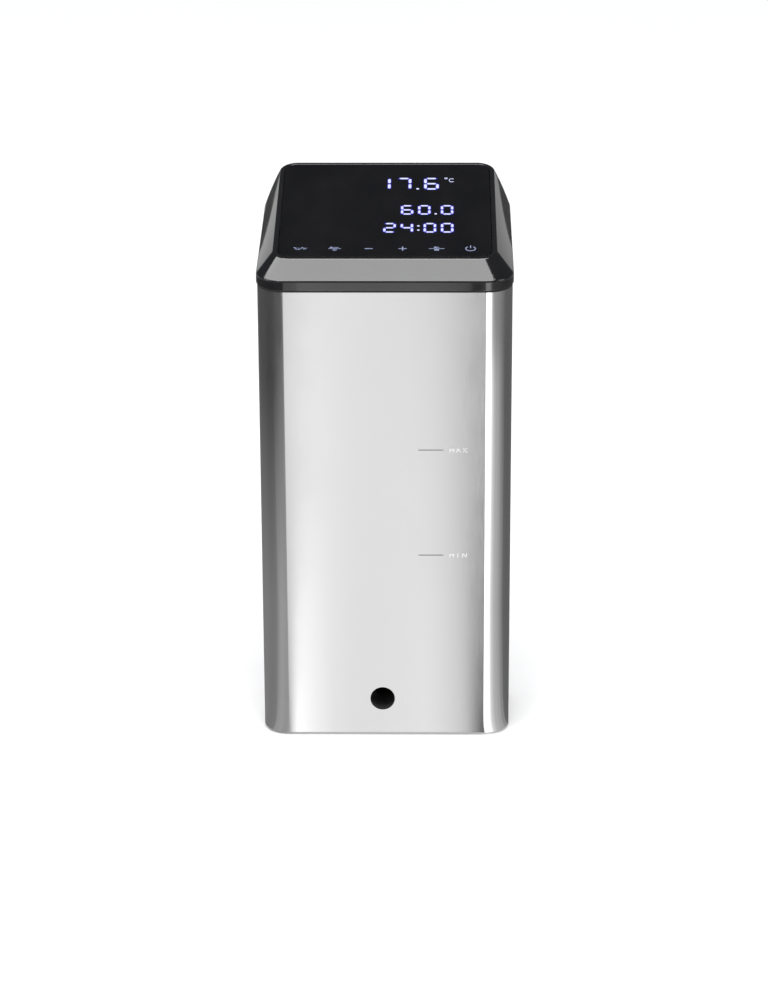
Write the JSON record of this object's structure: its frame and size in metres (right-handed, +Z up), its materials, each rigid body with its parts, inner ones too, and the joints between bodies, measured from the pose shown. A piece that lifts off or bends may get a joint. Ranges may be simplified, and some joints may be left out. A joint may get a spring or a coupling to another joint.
{
  "type": "sous vide circulator",
  "caption": "Box-shaped immersion circulator: steel sleeve with an outlet, wedge-shaped touch-control head, inner pump and heaters, and a screw clamp for a tank wall.",
  "frame": {"origin": "middle of the clamp's rim seat, on the underside of the ledge that rests on the tank's rim", "axes": "+Z up along the sleeve; +X to the user's right; the front with the outlet faces -Y, the clamp opens downwards behind the sleeve"},
  "size_m": [0.1398, 0.1391, 0.2986],
  "materials": {
    "sleeve_steel": "vertical brushed grain",
    "plain_steel": "satin",
    "bright_steel": "polished",
    "gloss_black": "high gloss moulded",
    "panel_glass": "black tinted toughened glass, opaque",
    "lit_marks": "blue-white lamps behind the glass",
    "pale_marks": "dim blue lamps behind the glass",
    "matte_black": "fine moulded texture",
    "black_rubber": "moulded rubber",
    "adhesive": "foam adhesive frame",
    "circuit_board": "solder mask",
    "dark_module": "moulded",
    "engineering_plastic": "natural filled resin",
    "pump_plastic": "glass-filled resin",
    "motor_metal": "zinc plated",
    "laminations": "stacked steel sheet",
    "heater_sheath": "heat-tinted sheath",
    "sink_aluminium": "extruded"
  },
  "bodies": {
    "housing": {"sleeve": "sleeve_steel", "base_plate": "plain_steel", "base_lugs": "plain_steel", "base_screws": "bright_steel", "sleeve_gasket": "black_rubber", "sleeve_screws": "bright_steel", "head_base": "matte_black", "head_cap": "gloss_black", "head_screws": "bright_steel", "touch_glass": "panel_glass", "glass_bond": "adhesive", "display_digits": "lit_marks", "key_marks": "pale_marks", "display_board": "circuit_board", "display_module": "dark_module", "sounder": "dark_module", "board_screws": "bright_steel", "cord_gland": "matte_black", "gland_cap": "matte_black", "gland_seal": "black_rubber", "gland_nut": "matte_black", "clamp_bracket": "plain_steel", "bracket_screws": "bright_steel", "wall_strip": "black_rubber", "clamp_nut": "bright_steel", "bulkhead": "plain_steel", "bulkhead_seal": "black_rubber", "shaft_seal": "black_rubber", "support_rods": "bright_steel", "rod_nuts": "bright_steel", "pump_cover": "plain_steel", "lower_bush": "engineering_plastic", "pump_housing": "pump_plastic", "outlet_nozzle": "pump_plastic", "motor_case": "motor_metal", "motor_cover": "motor_metal", "motor_stator": "laminations", "bearings": "bright_steel", "motor_screws": "bright_steel", "long_heater": "heater_sheath", "short_heater": "heater_sheath", "heater_fittings": "bright_steel", "temperature_probe": "bright_steel", "level_probes": "bright_steel", "probe_bushes": "engineering_plastic", "heat_sink": "sink_aluminium", "power_board": "circuit_board", "power_parts": "dark_module", "transformer": "laminations"},
    "drive_train": {"motor_shaft": "bright_steel", "motor_rotor": "laminations", "cooling_fan": "pump_plastic", "coupling": "bright_steel", "drive_shaft": "bright_steel", "impeller": "engineering_plastic", "impeller_nut": "bright_steel"},
    "jaw": {"clamp_pad": "black_rubber", "clamp_cup": "plain_steel"},
    "spindle": {"clamp_screw": "bright_steel", "clamp_knob": "matte_black"}
  },
  "joints": [
    {"name": "pump_spin", "type": "hinge", "parent": "housing", "child": "drive_train", "pos_m": [0.014, -0.051, 0], "axis": [0, 0, 1], "continuous": true},
    {"name": "jaw_travel", "type": "slide", "parent": "housing", "child": "jaw", "axis": [0, -1, 0], "range_m": [-0.006, 0.012]},
    {"name": "screw_turn", "type": "hinge", "parent": "jaw", "child": "spindle", "pos_m": [0, 0.03, -0.024], "axis": [0, -1, 0], "range_deg": [-1080, 2160]}
  ],
  "couplings": [
    {"joint": "screw_turn", "follows": "jaw_travel", "rad_per_m": 3141.6}
  ]
}
